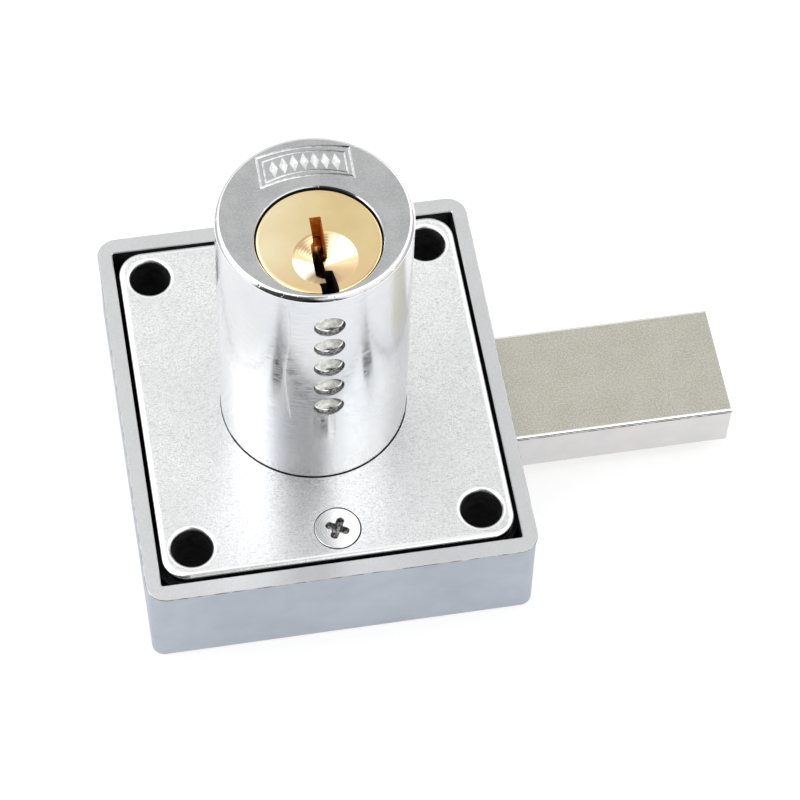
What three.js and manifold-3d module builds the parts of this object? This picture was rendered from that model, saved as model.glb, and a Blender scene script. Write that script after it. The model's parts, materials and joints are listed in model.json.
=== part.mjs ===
// Cabinet bolt lock: a pin-tumbler cylinder on a flat box case with a sliding rectangular bolt.
// Millimetres. The origin is the centre of the case back. +Z points along the cylinder to the
// key face, +X is the way the bolt shoots, +Y is the pin side of the cylinder.

import * as THREE from 'three';
import { mergeVertices } from 'three/addons/utils/BufferGeometryUtils.js';
import Module from 'manifold-3d';

const wasm = await Module();
wasm.setup();

// ---------------------------------------------------------------- driving dimensions

const GAP = 0.3; // between solids that touch or nearly touch on the real lock
const FINE_GAP = 0.15; // around small parts that are held in a close hole
const OVERCUT = 1; // how far a cutting tool runs past the face it opens

const CASE = {
  width: 46.1,
  height: 51.1,
  depth: 13.7,
  floor: 1.7,
  recessWidth: 42.5,
  recessHeight: 47.0,
  cornerRadius: 2.4,
  backRound: 1.6,
};

const PLATE = {
  width: 41.6,
  height: 46.1,
  thickness: 2.0,
  top: 13.9,
  cornerRadius: 3.1,
  edgeBevel: 0.5,
};

const MOUNT_HOLE = {
  x: 17.1,
  y: 19.1,
  radius: 2.43,
  chamfer: 0.45,
  bossRadius: 4.5,
};

const COVER_SCREW = {
  y: 19.1,
  headRadius: 2.7,
  headHeight: 1.15,
  rimHeight: 0.2,
  shankRadius: 1.4,
  length: 9.0,
  postRadius: 3.4,
  crossTurn: -24, // degrees
};

const BARREL = {
  y: -0.93,
  radius: 11.1,
  top: 51.35,
  topChamfer: 0.4,
  flangeRadius: 13.2,
  flangeThickness: 0.8,
  flangeFlat: 12.6,
};

const PLUG = {
  y: -4.07,
  headRadius: 7.0,
  headHeight: 2.5,
  headGap: 0.1,
  bodyRadius: 6.45,
  bodyGap: 0.15,
  faceRecess: 0.25,
  faceChamfer: 0.3,
  keywayFloor: 26,
  dish: { x: 0.3, y: -2.4, radius: 3.5, depth: 1.5 }, // key guide, from the plug axis
};

const PINS = {
  count: 5,
  firstZ: 45.9,
  pitch: 4.12,
  radius: 1.4,
  chamberRadius: 1.5,
  keyLengths: [5.2, 6.4, 4.6, 5.8, 5.0],
  keyTip: 0.8,
  chamberFloor: -0.9, // from the plug axis
  driverLength: 2.8,
  chamberEnd: 9.1, // y where the chambers end, blind
  capRadius: 1.62,
  capHole: 1.78,
  capDish: 0.35,
};

const SPRING = {
  coilRadius: 1.12,
  wireRadius: 0.14,
  turns: 4.5,
  stepsPerTurn: 10,
  wireSides: 6,
};

const BOLT = {
  width: 15,
  bottom: 2.0,
  top: 8.8,
  end: 50.9,
  tail: 6.4,
  shoulder: 21.0,
  lugTop: 13.3,
  endCorner: 0.3,
};

const CRANK = {
  radius: 13.5, // plug axis to crank pin
  bottom: 9.1,
  top: 10.5,
  hubRadius: 6.2,
  tipRadius: 2.6,
  pinRadius: 1.75,
  pinBottom: 2.4,
  rivetRadius: 1.3,
  screwX: 3.3,
  screwHead: 1.9,
  screwShank: 1.0,
  screwLength: 6.0,
  slotClearance: 0.25,
};

// Keyway outline about the plug axis: open at -Y, with a ward on each wall.
const KEYWAY = [
  [-0.62, 3.2], [-0.62, 0.2], [-0.97, -0.15], [-0.97, -4.3], [-0.07, -4.75], [-0.07, -5.45],
  [-0.85, -5.5], [-0.72, -6.1], [-0.72, -7.8], [1.18, -7.8], [1.18, -6.3], [0.95, -3.4],
  [0.2, -3.2], [0.2, -2.0], [0.7, -1.6], [0.66, 3.2],
];

const FACETS = { large: 64, medium: 40, small: 24, tiny: 16 };

// ---------------------------------------------------------------- materials

const finish = {
  case: new THREE.MeshStandardMaterial({ color: 0xb4bbc6, roughness: 0.45, metalness: 0.9 }),
  plate: new THREE.MeshStandardMaterial({ color: 0xe2e3e4, roughness: 0.35, metalness: 0.9 }),
  chrome: new THREE.MeshStandardMaterial({ color: 0xe6e7e9, roughness: 0.15, metalness: 1 }),
  brass: new THREE.MeshStandardMaterial({ color: 0xe3c684, roughness: 0.3, metalness: 1 }),
  bolt: new THREE.MeshStandardMaterial({ color: 0xc3beb2, roughness: 0.35, metalness: 1 }),
  zinc: new THREE.MeshStandardMaterial({ color: 0xcfd3d6, roughness: 0.35, metalness: 1 }),
  steel: new THREE.MeshStandardMaterial({ color: 0xa9abad, roughness: 0.4, metalness: 1 }),
};

// ---------------------------------------------------------------- helpers

// Turns a closed three.js geometry into a manifold solid.
function solid(geometry) {
  const bare = new THREE.BufferGeometry();
  bare.setAttribute('position', geometry.getAttribute('position').clone());
  if (geometry.index) bare.setIndex(geometry.index.clone());
  const merged = mergeVertices(bare, 1e-5);
  const corners = merged.index.array;
  const triVerts = [];
  for (let i = 0; i < corners.length; i += 3) {
    const [a, b, c] = [corners[i], corners[i + 1], corners[i + 2]];
    if (a !== b && b !== c && c !== a) triVerts.push(a, b, c);
  }
  return new wasm.Manifold(new wasm.Mesh({
    numProp: 3,
    vertProperties: new Float32Array(merged.getAttribute('position').array),
    triVerts: new Uint32Array(triVerts),
  }));
}

// Turns a manifold solid back into a flat-shaded geometry.
function geometryOf(body) {
  const { vertProperties, triVerts } = body.getMesh();
  const geometry = new THREE.BufferGeometry();
  geometry.setAttribute('position', new THREE.BufferAttribute(vertProperties, 3));
  geometry.setIndex(new THREE.BufferAttribute(triVerts, 1));
  const flat = geometry.toNonIndexed();
  flat.computeVertexNormals();
  return flat;
}

function join(first, ...others) {
  return others.reduce((sum, other) => sum.add(other), first);
}

function cut(body, ...tools) {
  return tools.reduce((rest, tool) => rest.subtract(tool), body);
}

function box(x0, x1, y0, y1, z0, z1) {
  const geometry = new THREE.BoxGeometry(x1 - x0, y1 - y0, z1 - z0);
  geometry.translate((x0 + x1) / 2, (y0 + y1) / 2, (z0 + z1) / 2);
  return solid(geometry);
}

// Upright cylinder or cone frustum between two heights.
function post(x, y, z0, z1, radius, facets, topRadius = radius) {
  const geometry = new THREE.CylinderGeometry(topRadius, radius, z1 - z0, facets);
  geometry.rotateX(Math.PI / 2);
  geometry.translate(x, y, (z0 + z1) / 2);
  return solid(geometry);
}

// Cylinder lying along Y between two y values.
function crossBore(y0, y1, z, radius, facets) {
  const geometry = new THREE.CylinderGeometry(radius, radius, y1 - y0, facets);
  geometry.translate(0, (y0 + y1) / 2, z);
  return solid(geometry);
}

// Solid of revolution about Y from [radius, y] pairs that start and end on the axis.
function turned(profile, z, facets) {
  const points = profile.map(([radius, y]) => new THREE.Vector2(radius, y));
  const geometry = new THREE.LatheGeometry(points, facets);
  geometry.translate(0, 0, z);
  return solid(geometry);
}

function prism(shape, z0, z1, curveSegments = 8) {
  const geometry = new THREE.ExtrudeGeometry(shape, {
    depth: z1 - z0,
    bevelEnabled: false,
    curveSegments,
  });
  geometry.translate(0, 0, z0);
  return solid(geometry);
}

function roundedRectangle(width, height, radius) {
  const x = width / 2;
  const y = height / 2;
  const shape = new THREE.Shape();
  shape.moveTo(x - radius, -y);
  shape.absarc(x - radius, -y + radius, radius, -Math.PI / 2, 0);
  shape.absarc(x - radius, y - radius, radius, 0, Math.PI / 2);
  shape.absarc(-x + radius, y - radius, radius, Math.PI / 2, Math.PI);
  shape.absarc(-x + radius, -y + radius, radius, Math.PI, 1.5 * Math.PI);
  return shape;
}

function outline(points) {
  return new THREE.Shape(points.map(([x, y]) => new THREE.Vector2(x, y)));
}

// Rounded block with a bevel along its lower edge, its upper edge or neither.
function bevelledBlock(width, height, radius, z0, z1, bevel, steps, edge) {
  const geometry = new THREE.ExtrudeGeometry(roundedRectangle(width, height, radius), {
    depth: z1 - z0,
    bevelThickness: bevel,
    bevelSize: bevel,
    bevelOffset: -bevel,
    bevelSegments: steps,
    curveSegments: 6,
  });
  geometry.translate(0, 0, edge === 'lower' ? z0 + bevel : z0 - bevel);
  const keep = box(-width, width, -height, height, z0, z1);
  return solid(geometry).intersect(keep);
}

// Cross recess for a screwdriver: two tapered slots that meet at the bottom.
// It opens at height z and sinks towards -Z, or towards +Z when inward is 1.
function crossRecess(x, y, z, armLength, armWidth, depth, turn, inward) {
  const arms = [0, 90].map((quarter) => {
    const arm = new THREE.CylinderGeometry(1, 0.45, depth, 4, 1);
    arm.rotateY(Math.PI / 4);
    arm.scale(armLength / Math.SQRT2 * 2, 1, armWidth / Math.SQRT2 * 2);
    arm.rotateX(Math.PI / 2);
    if (inward > 0) arm.rotateX(Math.PI);
    arm.rotateZ(THREE.MathUtils.degToRad(turn + quarter));
    arm.translate(x, y, z + inward * (depth / 2 - 0.02));
    return solid(arm);
  });
  return join(...arms);
}

function node(name, body, material) {
  const mesh = new THREE.Mesh(geometryOf(body), material);
  mesh.name = name;
  return mesh;
}

const plateBottom = PLATE.top - PLATE.thickness;
const plugFace = BARREL.top - PLUG.faceRecess;
const barrelBottom = CRANK.top + GAP;
const bodyBore = PLUG.bodyRadius + PLUG.bodyGap;
const shearLine = PLUG.y + bodyBore;
const pinHeights = Array.from({ length: PINS.count }, (_, n) => PINS.firstZ - n * PINS.pitch);
const mountHoles = [-1, 1].flatMap((sx) => [-1, 1].map((sy) => [sx * MOUNT_HOLE.x, sy * MOUNT_HOLE.y]));
const screwSides = [-1, 1];

// ---------------------------------------------------------------- case and cover

function makeCase() {
  const { width, height, depth, floor, cornerRadius, backRound } = CASE;
  const recessX = CASE.recessWidth / 2;
  const recessY = CASE.recessHeight / 2;
  const bossTop = plateBottom - GAP;
  const windowHalf = BOLT.width / 2 + GAP;
  const ribTop = BOLT.top - 0.2;

  const shell = cut(
    bevelledBlock(width, height, cornerRadius, 0, depth, backRound, 3, 'lower'),
    box(-recessX, recessX, -recessY, recessY, floor, depth + OVERCUT),
    box(recessX - OVERCUT, width / 2 + OVERCUT, -windowHalf, windowHalf, floor, BOLT.top + GAP),
  );

  const bosses = mountHoles.map(([x, y]) => {
    return post(x, y, floor / 2, bossTop, MOUNT_HOLE.bossRadius, FACETS.medium);
  });
  const screwPosts = screwSides.map((side) => {
    return post(0, side * COVER_SCREW.y, floor / 2, bossTop, COVER_SCREW.postRadius, FACETS.small);
  });
  const lowerRib = box(-18, recessX - 4, -windowHalf - 1.7, -windowHalf, floor / 2, ribTop);
  const upperRib = box(-14, 14, BOLT.lugTop + GAP, BOLT.lugTop + GAP + 1.5, floor / 2, ribTop);

  const holes = mountHoles.map(([x, y]) => {
    return post(x, y, -OVERCUT, depth, MOUNT_HOLE.radius, FACETS.small);
  });
  const threadHoles = screwSides.map((side) => {
    const bottom = PLATE.top - COVER_SCREW.length - 0.5;
    return post(0, side * COVER_SCREW.y, bottom, depth, COVER_SCREW.shankRadius + FINE_GAP, FACETS.small);
  });
  return cut(join(shell, ...bosses, ...screwPosts, lowerRib, upperRib), ...holes, ...threadHoles);
}

function makeCoverPlate() {
  const { width, height, cornerRadius, top, edgeBevel } = PLATE;
  const block = bevelledBlock(width, height, cornerRadius, plateBottom, top, edgeBevel, 2, 'upper');
  const below = plateBottom - OVERCUT;
  const above = top + OVERCUT;
  const barrelHole = post(0, BARREL.y, below, above, BARREL.radius + GAP, FACETS.large);

  const holes = mountHoles.flatMap(([x, y]) => {
    const { radius, chamfer } = MOUNT_HOLE;
    const rim = post(x, y, top - chamfer, top + OVERCUT, radius, FACETS.medium, radius + chamfer + OVERCUT);
    return [post(x, y, below, above, radius, FACETS.medium), rim];
  });
  const sinks = screwSides.flatMap((side) => {
    const y = side * COVER_SCREW.y;
    const { headHeight, rimHeight } = COVER_SCREW;
    const wide = COVER_SCREW.headRadius + GAP;
    const narrow = COVER_SCREW.shankRadius + GAP;
    return [
      post(0, y, below, above, narrow, FACETS.small),
      post(0, y, top - headHeight, top - rimHeight, narrow, FACETS.medium, wide),
      post(0, y, top - rimHeight, above, wide, FACETS.medium),
    ];
  });
  return cut(block, barrelHole, ...holes, ...sinks);
}

// Countersunk cross-head screw, head up.
function makeCoverScrew(side) {
  const { y, headRadius, headHeight, rimHeight, shankRadius, length, crossTurn } = COVER_SCREW;
  const top = PLATE.top - 0.08;
  const screwY = side * y;
  const head = join(
    post(0, screwY, top - rimHeight, top, headRadius, FACETS.medium),
    post(0, screwY, top - headHeight, top - rimHeight, shankRadius, FACETS.medium, headRadius),
  );
  const shank = post(0, screwY, top - length, top - headHeight, shankRadius, FACETS.medium);
  return cut(join(head, shank), crossRecess(0, screwY, top, 1.5, 0.45, 1.2, crossTurn, -1));
}

// ---------------------------------------------------------------- cylinder

function makeBarrel() {
  const { y, radius, top, topChamfer, flangeRadius, flangeThickness, flangeFlat } = BARREL;
  const tube = join(
    post(0, y, barrelBottom, top - topChamfer, radius, FACETS.large),
    post(0, y, top - topChamfer, top, radius, FACETS.large, radius - topChamfer),
  );
  const flange = post(0, y, barrelBottom, barrelBottom + flangeThickness, flangeRadius, FACETS.large);
  const sideFlats = box(
    -flangeFlat, flangeFlat, y - flangeRadius, y + flangeRadius,
    barrelBottom, barrelBottom + flangeThickness,
  );
  const headBore = PLUG.headRadius + PLUG.headGap;
  const headFloor = plugFace - PLUG.headHeight - GAP;
  const chambers = pinHeights.map((z) => {
    return crossBore(PLUG.y + 4, PINS.chamberEnd, z, PINS.chamberRadius, FACETS.small);
  });
  const capHoles = pinHeights.map((z) => {
    return crossBore(y - radius - OVERCUT, PLUG.y - 4, z, PINS.capHole, FACETS.small);
  });
  return cut(
    join(tube, flange.intersect(sideFlats)),
    post(0, PLUG.y, barrelBottom - OVERCUT, top, bodyBore, FACETS.large),
    post(0, PLUG.y, headFloor, top + OVERCUT, headBore, FACETS.large),
    ...chambers,
    ...capHoles,
  );
}

function makePlug() {
  const { y, headRadius, headHeight, bodyRadius, faceChamfer, keywayFloor, dish } = PLUG;
  const body = join(
    post(0, y, barrelBottom, plugFace - headHeight, bodyRadius, FACETS.large),
    post(0, y, plugFace - headHeight, plugFace - faceChamfer, headRadius, FACETS.large),
    post(0, y, plugFace - faceChamfer, plugFace, headRadius, FACETS.large, headRadius - faceChamfer),
  );
  const keyway = prism(outline(KEYWAY), keywayFloor, plugFace + OVERCUT).translate([0, y, 0]);
  const chambers = pinHeights.map((z) => {
    return crossBore(y + PINS.chamberFloor, y + bodyRadius + OVERCUT, z, PINS.chamberRadius, FACETS.small);
  });
  const screwHoles = screwSides.map((side) => {
    const depth = CRANK.bottom + CRANK.screwLength + 0.5;
    return post(
      side * CRANK.screwX, y, barrelBottom - OVERCUT, depth, CRANK.screwShank + FINE_GAP, FACETS.tiny,
    );
  });
  const slope = dish.radius / dish.depth;
  const dishTool = post(
    dish.x, y + dish.y, plugFace - dish.depth, plugFace + OVERCUT,
    0, FACETS.medium, dish.radius + slope * OVERCUT,
  );
  return cut(body, keyway, dishTool, ...chambers, ...screwHoles);
}

// Lower pin with a pointed tip; its other end stops just under the shear line.
function makeKeyPin(index) {
  const { radius, keyLengths, keyTip } = PINS;
  const end = shearLine - 0.35;
  const tip = end - keyLengths[index];
  const edge = 0.15;
  return turned(
    [[0, tip], [0.3, tip], [radius, tip + keyTip], [radius, end - edge], [radius - edge, end], [0, end]],
    pinHeights[index], FACETS.tiny,
  );
}

// Upper pin that starts just outside the shear line.
function makeDriverPin(index) {
  const { radius, driverLength } = PINS;
  const start = shearLine + FINE_GAP;
  const end = start + driverLength;
  const edge = 0.2;
  return turned(
    [
      [0, start], [radius - edge, start], [radius, start + edge],
      [radius, end - edge], [radius - edge, end], [0, end],
    ],
    pinHeights[index], FACETS.tiny,
  );
}

class CoilPath extends THREE.Curve {
  constructor(radius, turns, start, end) {
    super();
    this.radius = radius;
    this.turns = turns;
    this.start = start;
    this.end = end;
  }

  getPoint(t) {
    const angle = 2 * Math.PI * this.turns * t;
    const y = THREE.MathUtils.lerp(this.start, this.end, t);
    return new THREE.Vector3(this.radius * Math.cos(angle), y, this.radius * Math.sin(angle));
  }
}

function makePinSpring(index) {
  const { coilRadius, wireRadius, turns, stepsPerTurn, wireSides } = SPRING;
  const start = shearLine + FINE_GAP + PINS.driverLength + FINE_GAP + wireRadius;
  const end = PINS.chamberEnd - FINE_GAP - wireRadius;
  const section = new THREE.Shape();
  for (let side = 0; side < wireSides; side += 1) {
    const angle = 2 * Math.PI * side / wireSides;
    const point = [wireRadius * Math.cos(angle), wireRadius * Math.sin(angle)];
    if (side === 0) section.moveTo(...point);
    else section.lineTo(...point);
  }
  const geometry = new THREE.ExtrudeGeometry(section, {
    steps: Math.round(turns * stepsPerTurn),
    extrudePath: new CoilPath(coilRadius, turns, start, end),
  });
  geometry.translate(0, 0, pinHeights[index]);
  return solid(geometry);
}

// Short dished stopper that closes the drilled hole in the thin wall.
function makeChamberPlug(index) {
  const { capRadius, capDish } = PINS;
  const face = BARREL.y - BARREL.radius + 0.2;
  const inside = PLUG.y - bodyBore - FINE_GAP;
  const dish = capRadius - 0.25;
  return turned(
    [
      [0, face + capDish], [dish * 0.5, face + capDish * 0.78], [dish, face],
      [capRadius, face], [capRadius, inside], [0, inside],
    ],
    pinHeights[index], FACETS.small,
  );
}

// ---------------------------------------------------------------- bolt work

// Slot in the bolt tail: the space that the crank pin sweeps, seen from the bolt, while the
// bolt moves in proportion to the turn of the plug.
function crankSlot() {
  const reach = CRANK.pinRadius + CRANK.slotClearance;
  const steps = 36;
  const path = Array.from({ length: steps + 1 }, (_, n) => {
    const turn = Math.PI * n / steps;
    return new THREE.Vector2(
      CRANK.radius * (Math.cos(turn) + 2 * turn / Math.PI),
      PLUG.y + CRANK.radius * Math.sin(turn),
    );
  });
  const edge = path.map((point, n) => {
    const before = path[Math.max(n - 1, 0)];
    const after = path[Math.min(n + 1, steps)];
    const along = after.clone().sub(before).normalize();
    return new THREE.Vector2(point.x + reach * along.y, point.y - reach * along.x);
  });
  const shape = new THREE.Shape(edge);
  const tip = path[0];
  const closing = edge[steps].clone().sub(tip).angle();
  const opening = edge[0].clone().sub(tip).angle();
  shape.absarc(tip.x, tip.y, reach, closing, opening);
  return shape;
}

function makeBolt() {
  const { width, bottom, top, end, tail, shoulder, lugTop, endCorner } = BOLT;
  const half = width / 2;
  const shape = new THREE.Shape();
  shape.moveTo(tail, -half);
  shape.lineTo(end - endCorner, -half);
  shape.lineTo(end, -half + endCorner);
  shape.lineTo(end, half - endCorner);
  shape.lineTo(end - endCorner, half);
  shape.lineTo(shoulder, half);
  shape.lineTo(shoulder, lugTop);
  shape.lineTo(tail, lugTop);
  const slot = prism(crankSlot(), bottom - OVERCUT, top + OVERCUT, 10);
  return cut(prism(shape, bottom, top), slot);
}

function makeCrankArm() {
  const { radius, bottom, top, hubRadius, tipRadius, rivetRadius } = CRANK;
  const lean = Math.acos((hubRadius - tipRadius) / radius);
  const shape = new THREE.Shape();
  shape.absarc(0, PLUG.y, hubRadius, lean, 2 * Math.PI - lean);
  shape.absarc(radius, PLUG.y, tipRadius, -lean, lean);
  const pinHole = post(radius, PLUG.y, bottom - OVERCUT, top + OVERCUT, rivetRadius + FINE_GAP, FACETS.tiny);
  const screwHoles = screwSides.flatMap((side) => {
    const { screwX, screwHead, screwShank } = CRANK;
    const x = side * screwX;
    const hole = screwShank + FINE_GAP;
    const slope = screwHead - screwShank;
    return [
      post(x, PLUG.y, bottom - OVERCUT, top + OVERCUT, hole, FACETS.tiny),
      post(x, PLUG.y, bottom - OVERCUT, bottom + slope, hole + slope + OVERCUT, FACETS.small, hole),
    ];
  });
  return cut(prism(shape, bottom, top, 16), pinHole, ...screwHoles);
}

function makeCrankPin() {
  const { radius, bottom, top, pinRadius, pinBottom, rivetRadius } = CRANK;
  const shoulder = bottom - FINE_GAP;
  return join(
    post(radius, PLUG.y, pinBottom, shoulder, pinRadius, FACETS.medium),
    post(radius, PLUG.y, shoulder, top - 0.1, rivetRadius, FACETS.medium),
  );
}

// Countersunk screw through the arm into the plug tail, head down.
function makeArmScrew(side) {
  const { bottom, screwX, screwHead, screwShank, screwLength } = CRANK;
  const x = side * screwX;
  const headHeight = screwHead - screwShank;
  const head = post(x, PLUG.y, bottom, bottom + headHeight, screwHead, FACETS.small, screwShank);
  const shank = post(x, PLUG.y, bottom + headHeight, bottom + screwLength, screwShank, FACETS.small);
  return cut(join(head, shank), crossRecess(x, PLUG.y, bottom, 1.0, 0.3, 0.7, 45, 1));
}

// ---------------------------------------------------------------- assembly

const lock = new THREE.Group();
lock.add(
  node('case', makeCase(), finish.case),
  node('cover_plate', makeCoverPlate(), finish.plate),
  node('cover_screw_front', makeCoverScrew(-1), finish.zinc),
  node('cover_screw_rear', makeCoverScrew(1), finish.zinc),
  node('barrel', makeBarrel(), finish.chrome),
  node('plug', makePlug(), finish.brass),
  node('bolt', makeBolt(), finish.bolt),
  node('crank_arm', makeCrankArm(), finish.steel),
  node('crank_pin', makeCrankPin(), finish.steel),
  node('arm_screw_1', makeArmScrew(-1), finish.zinc),
  node('arm_screw_2', makeArmScrew(1), finish.zinc),
);
for (let index = 0; index < PINS.count; index += 1) {
  const number = index + 1;
  lock.add(
    node(`key_pin_${number}`, makeKeyPin(index), finish.brass),
    node(`driver_pin_${number}`, makeDriverPin(index), finish.brass),
    node(`pin_spring_${number}`, makePinSpring(index), finish.steel),
    node(`chamber_plug_${number}`, makeChamberPlug(index), finish.chrome),
  );
}

export default lock;
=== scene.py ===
"""Cabinet bolt lock: fine meshes, materials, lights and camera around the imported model.

Shapes are written in millimetres and scaled to metres when a piece is made. Each piece takes its
place and main sizes from the CAD node that it stands for; what is named here is surface detail.
"""

import json
import math

import bmesh
import bpy
from mathutils import Matrix, Vector


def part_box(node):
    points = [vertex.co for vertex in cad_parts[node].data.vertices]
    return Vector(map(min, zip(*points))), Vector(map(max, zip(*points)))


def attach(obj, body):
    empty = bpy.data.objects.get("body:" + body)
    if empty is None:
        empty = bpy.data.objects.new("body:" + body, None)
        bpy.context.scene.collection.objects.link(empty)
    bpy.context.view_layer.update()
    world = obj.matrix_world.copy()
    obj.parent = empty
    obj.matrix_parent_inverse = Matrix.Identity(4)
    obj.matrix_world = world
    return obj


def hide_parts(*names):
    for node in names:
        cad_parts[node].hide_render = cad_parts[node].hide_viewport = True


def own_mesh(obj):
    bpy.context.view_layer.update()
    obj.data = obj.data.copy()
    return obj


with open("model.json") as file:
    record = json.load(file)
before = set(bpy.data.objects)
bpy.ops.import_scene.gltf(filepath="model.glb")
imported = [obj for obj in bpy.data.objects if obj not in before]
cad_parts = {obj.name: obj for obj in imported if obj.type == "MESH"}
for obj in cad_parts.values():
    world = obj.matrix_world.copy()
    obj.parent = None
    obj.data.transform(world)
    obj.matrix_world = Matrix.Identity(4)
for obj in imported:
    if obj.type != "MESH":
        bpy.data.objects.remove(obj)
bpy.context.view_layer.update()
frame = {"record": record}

MM = 0.001
OVERCUT = 1  # how far a cutter passes the face it opens
ABOVE = 20  # a height clear of the case and the cover plate
BODY_OF = {
    node: body
    for body, members in frame["record"]["behaviour"]["bodies"].items()
    for node in members
}
PINS = range(1, 6)


def node_box(node):
    """Lowest corner, highest corner and centre of a CAD node, in millimetres."""
    low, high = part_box(node)
    return low / MM, high / MM, (low + high) / (2 * MM)


def half_width(node):
    """Half of a CAD node's width along X, which is the radius of a round one."""
    low, high, _ = node_box(node)
    return (high.x - low.x) / 2


# ---------------- camera

AZIMUTH = math.radians(12.16)
ELEVATION = math.radians(58.07)
ROLL = math.radians(2.894)
DISTANCE = 0.3817
LENS = 143.38
AIM = Vector((10.22, -2.74, 13.62)) * MM


def make_camera():
    forward = Vector((
        math.sin(AZIMUTH) * math.cos(ELEVATION),
        math.cos(AZIMUTH) * math.cos(ELEVATION),
        -math.sin(ELEVATION),
    ))
    level = Vector((math.cos(AZIMUTH), -math.sin(AZIMUTH), 0))
    above = level.cross(forward)
    right = math.cos(ROLL) * level + math.sin(ROLL) * above
    up = right.cross(forward)
    turn = Matrix((right, up, -forward)).transposed().to_4x4()
    data = bpy.data.cameras.new("camera")
    data.lens = LENS
    data.sensor_width = 36
    data.clip_start = 0.01
    camera = bpy.data.objects.new("camera", data)
    camera.matrix_world = Matrix.Translation(AIM - DISTANCE * forward) @ turn
    bpy.context.scene.collection.objects.link(camera)
    bpy.context.scene.camera = camera


make_camera()

# ---------------- mesh helpers


def circle(radius, height, centre, steps):
    turns = [2 * math.pi * k / steps for k in range(steps)]
    x, y = centre
    return [(x + radius * math.cos(a), y + radius * math.sin(a), height) for a in turns]


def rounded_rectangle(width, depth, radius, height, steps=8):
    ring = []
    for quarter, (sx, sy) in enumerate(((1, 1), (-1, 1), (-1, -1), (1, -1))):
        x = sx * (width / 2 - radius)
        y = sy * (depth / 2 - radius)
        for step in range(steps + 1):
            angle = (quarter + step / steps) * math.pi / 2
            ring.append((x + radius * math.cos(angle), y + radius * math.sin(angle), height))
    return ring


def rounding(reach, drop, steps=5):
    """[inset, drop] pairs of an elliptical edge, from the wall up to the face."""
    angles = [math.pi / 2 * k / steps for k in range(steps + 1)]
    return [(reach * (1 - math.cos(a)), drop * (1 - math.sin(a))) for a in angles]


def finish_mesh(name, shape):
    """A piece from a bmesh, with its faces turned outward."""
    bmesh.ops.recalc_face_normals(shape, faces=shape.faces)
    mesh = bpy.data.meshes.new(name)
    shape.to_mesh(mesh)
    shape.free()
    piece = bpy.data.objects.new(name, mesh)
    bpy.context.scene.collection.objects.link(piece)
    return piece


def loft(name, rings):
    """A closed skin through rings with the same number of points, capped at both ends."""
    shape = bmesh.new()
    rows = [[shape.verts.new(Vector(point) * MM) for point in ring] for ring in rings]
    for below, above in zip(rows, rows[1:]):
        for k, point in enumerate(below):
            after = (k + 1) % len(below)
            shape.faces.new((point, below[after], above[after], above[k]))
    shape.faces.new(list(reversed(rows[0])))
    shape.faces.new(rows[-1])
    return finish_mesh(name, shape)


def turned(name, profile, centre=(0, 0), steps=96):
    """A solid of revolution about an upright axis from [radius, height] pairs."""
    return loft(name, [circle(radius, height, centre, steps) for radius, height in profile])


def along_y(piece, x, z):
    """Lays an upright solid of revolution along +Y, with its axis through x and z."""
    tilt = Matrix.Rotation(-math.pi / 2, 4, "X")
    piece.data.transform(Matrix.Translation(Vector((x, 0, z)) * MM) @ tilt)
    return piece


def prism(name, outline, low, high):
    return loft(name, [[(x, y, z) for x, y in outline] for z in (low, high)])


def slab(name, x0, x1, y0, y1, z0, z1):
    return prism(name, [(x0, y0), (x1, y0), (x1, y1), (x0, y1)], z0, z1)


def settle(piece):
    """Applies a piece's modifiers."""
    view = bpy.context.evaluated_depsgraph_get()
    mesh = bpy.data.meshes.new_from_object(piece.evaluated_get(view))
    piece.modifiers.clear()
    piece.data = mesh
    mesh.name = piece.name
    return piece


def combine(piece, tools, operation="DIFFERENCE"):
    """Cuts the tools out of a piece, or joins them to it, and removes them."""
    for tool in tools:
        step = piece.modifiers.new("combine", "BOOLEAN")
        step.operation = operation
        step.solver = "EXACT"
        step.object = tool
    settle(piece)
    for tool in tools:
        bpy.data.objects.remove(tool)
    return piece


def soften(piece, width, steps=3, angle=40):
    """Rounds every edge sharper than the angle."""
    step = piece.modifiers.new("soften", "BEVEL")
    step.width = width * MM
    step.segments = steps
    step.limit_method = "ANGLE"
    step.angle_limit = math.radians(angle)
    step.use_clamp_overlap = True
    return settle(piece)


def smooth(piece, angle):
    """Smooth shading with sharp edges above the angle, and flat faces that stay flat."""
    piece.data.shade_smooth()
    piece.data.set_sharp_from_angle(angle=math.radians(angle))
    step = piece.modifiers.new("normals", "WEIGHTED_NORMAL")
    step.keep_sharp = True
    step.weight = 80
    return settle(piece)


def stand_for(piece, node, materials, choose=None, angle=35):
    """Puts a painted, smoothed piece in a CAD node's place; choose(face) picks a face's material."""
    piece.data.materials.clear()
    for material in materials:
        piece.data.materials.append(material)
    for face in piece.data.polygons:
        face.material_index = choose(face) if choose else 0
    smooth(piece, angle)
    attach(piece, BODY_OF[node])
    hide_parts(node)


# ---------------- material helpers


def smooth_range(tree, value, low, high, start, end):
    """Maps low..high of a value to start..end with soft ends, and clamps it there."""
    node = tree.nodes.new("ShaderNodeMapRange")
    node.interpolation_type = "SMOOTHSTEP"
    for name, setting in (("From Min", low), ("From Max", high), ("To Min", start), ("To Max", end)):
        node.inputs[name].default_value = setting
    tree.links.new(value, node.inputs["Value"])
    return node.outputs["Result"]


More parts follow.
